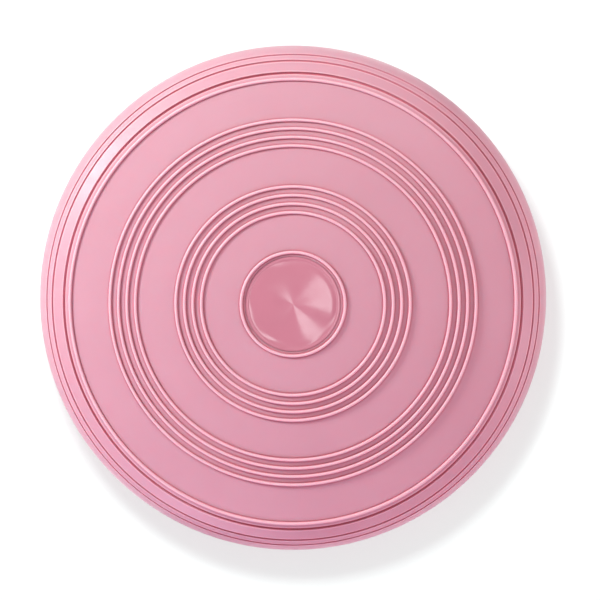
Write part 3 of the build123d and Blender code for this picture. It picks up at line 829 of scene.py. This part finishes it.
def zinc(name):
    """Zinc-plated steel with a fine streaky roughness."""
    material, tree, shader = new_material(name)
    tint = spread(tree, object_noise(tree, 400.0, 3.0), 0.0, 1.0)
    metal = mix_colours(tree, tint, (0.62, 0.63, 0.64), (0.50, 0.50, 0.49))
    tree.links.new(metal, shader.inputs["Base Color"])
    tree.links.new(spread(tree, object_noise(tree, 1500.0, 4.0), 0.22, 0.42), shader.inputs["Roughness"])
    tree.links.new(bump(tree, object_noise(tree, 2500.0, 2.0), mm(0.02), 0.4), shader.inputs["Normal"])
    shader.inputs["Metallic"].default_value = 1.0
    return material


def dress(name, material):
    """Gives a construction node a material in every one of its slots."""
    mesh = nodes[name].data
    if not mesh.materials:
        mesh.materials.append(material)
    for n in range(len(mesh.materials)):
        mesh.materials[n] = material


print("made the rubber, zinc and dressing helpers")

# %% [markdown]
# ## The plug
#
# The plug seals the valve and is what a hand pulls, so it gets its own model. Its stem carries two sealing
# rings, a hair thinner than the bore, its head has a knurled rim, and a rounded tab gives fingers a hold.
# Head and stem are one lathe, the knurl is a ripple in the rim's radius, and the tab is a bevelled block.

# %% Plug
plug_outline = [
    (0.0, -mm(10.4)), (mm(3.2), -mm(10.4)), (mm(3.9), -mm(9.8)), (mm(4.1), -mm(9.0)),
    (mm(4.1), -mm(7.6)), (mm(4.35), -mm(7.3)), (mm(4.35), -mm(6.5)), (mm(4.1), -mm(6.2)),
    (mm(4.1), -mm(3.9)), (mm(4.35), -mm(3.6)), (mm(4.35), -mm(2.8)), (mm(4.1), -mm(2.5)),
    (mm(4.1), mm(2.6)), (mm(8.2), mm(2.6)), (mm(8.8), mm(2.8)), (mm(9.0), mm(3.2)),
    (mm(9.0), mm(4.9)), (mm(8.7), mm(5.35)), (mm(8.1), mm(5.6)), (mm(7.3), mm(5.6)),
    (mm(6.9), mm(5.3)), (0.0, mm(5.3)),
]
KNURLS = 28
KNURL_INSIDE = mm(8.5)
KNURL_DEPTH = mm(0.28)
plug = lathe("plug_skin", plug_outline, KNURLS * 6)
for vertex in plug.data.vertices:
    r = hypot(vertex.co.x, vertex.co.y)
    if r > KNURL_INSIDE:
        dip = KNURL_DEPTH * max(0.0, cos(KNURLS * atan2(vertex.co.y, vertex.co.x)))
        vertex.co.x *= 1 - dip / r
        vertex.co.y *= 1 - dip / r
plug.data.transform(valve_place)
print("plug without its tab", len(plug.data.polygons), "faces")

# %% [markdown]
# The tab starts as a block. Its four upright edges are rounded first, then the rim of its top, in that
# order, because the second bevel follows the corners that the first one made.

# %% Plug tab
TAB_SIZE = (mm(3), mm(12), mm(2.9))
TAB_MIDDLE = mm(6.65)
tab_mesh = bpy.data.meshes.new("tab")
work = bmesh.new()
bmesh.ops.create_cube(work, size=1, matrix=Matrix.Diagonal((*TAB_SIZE, 1)))
upright = [edge for edge in work.edges if abs((edge.verts[0].co - edge.verts[1].co).z) > mm(1)]
bmesh.ops.bevel(work, geom=upright, offset=mm(1.4), segments=5, affect="EDGES", profile=0.5)
rim = [edge for edge in work.edges if min(vertex.co.z for vertex in edge.verts) > mm(1.4)]
bmesh.ops.bevel(work, geom=rim, offset=mm(0.6), segments=3, affect="EDGES", profile=0.5)
work.to_mesh(tab_mesh)
work.free()
tab_mesh.transform(valve_place @ Matrix.Translation((0, 0, TAB_MIDDLE)))
tab = new_object("tab", tab_mesh)
with bpy.context.temp_override(active_object=plug, selected_editable_objects=[plug, tab]):
    bpy.ops.object.join()
tidy_normals(plug, 30)
print("plug", len(plug.data.polygons), "faces")

# %% [markdown]
# Every finish above now goes onto its pieces. The sheet that closes the air chamber is the dome's own PVC,
# the valve's bush is a deeper pink so that it reads as a separate part, and the plug is off-white.

# %% Dress the pieces
grip_rubber = rubber("grip rubber", (0.17, 0.165, 0.17), (0.23, 0.225, 0.225), 900.0)
foot_rubber = rubber("foot rubber", (0.07, 0.07, 0.072), (0.13, 0.125, 0.12), 1400.0)
# The third colour of each is the painted edge highlight.
VALVE_COLOURS = ((0.50, 0.14, 0.205), (0.47, 0.13, 0.19), (0.64, 0.25, 0.32))
PLUG_COLOURS = ((0.80, 0.78, 0.77), (0.75, 0.73, 0.73), (0.88, 0.87, 0.86))
FINE_GRAIN = 3000.0
valve_plastic = moulded_plastic("valve plastic", *VALVE_COLOURS, FINE_GRAIN, (0.3, 0.4))
plug_plastic = moulded_plastic("plug plastic", *PLUG_COLOURS, FINE_GRAIN, (0.32, 0.45))
screw_zinc = zinc("screw zinc")
finishes = {
    "bladder_floor": dome_pvc,
    "valve_seat": valve_plastic,
    "platform_base": platform_plastic,
    "platform_deck": deck_plastic,
    "ring_screws": screw_zinc,
    "base_screws": screw_zinc,
    "grip_screws": screw_zinc,
    "hand_grip_left": grip_rubber,
    "hand_grip_right": grip_rubber,
}
finishes.update({name: foot_rubber for name in nodes if name.startswith("foot_")})
for name, material in finishes.items():
    dress(name, material)
plug.data.materials.append(plug_plastic)
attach(plug, "plug")
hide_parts("valve_plug")
print("dressed", len(finishes), "construction pieces and the plug")
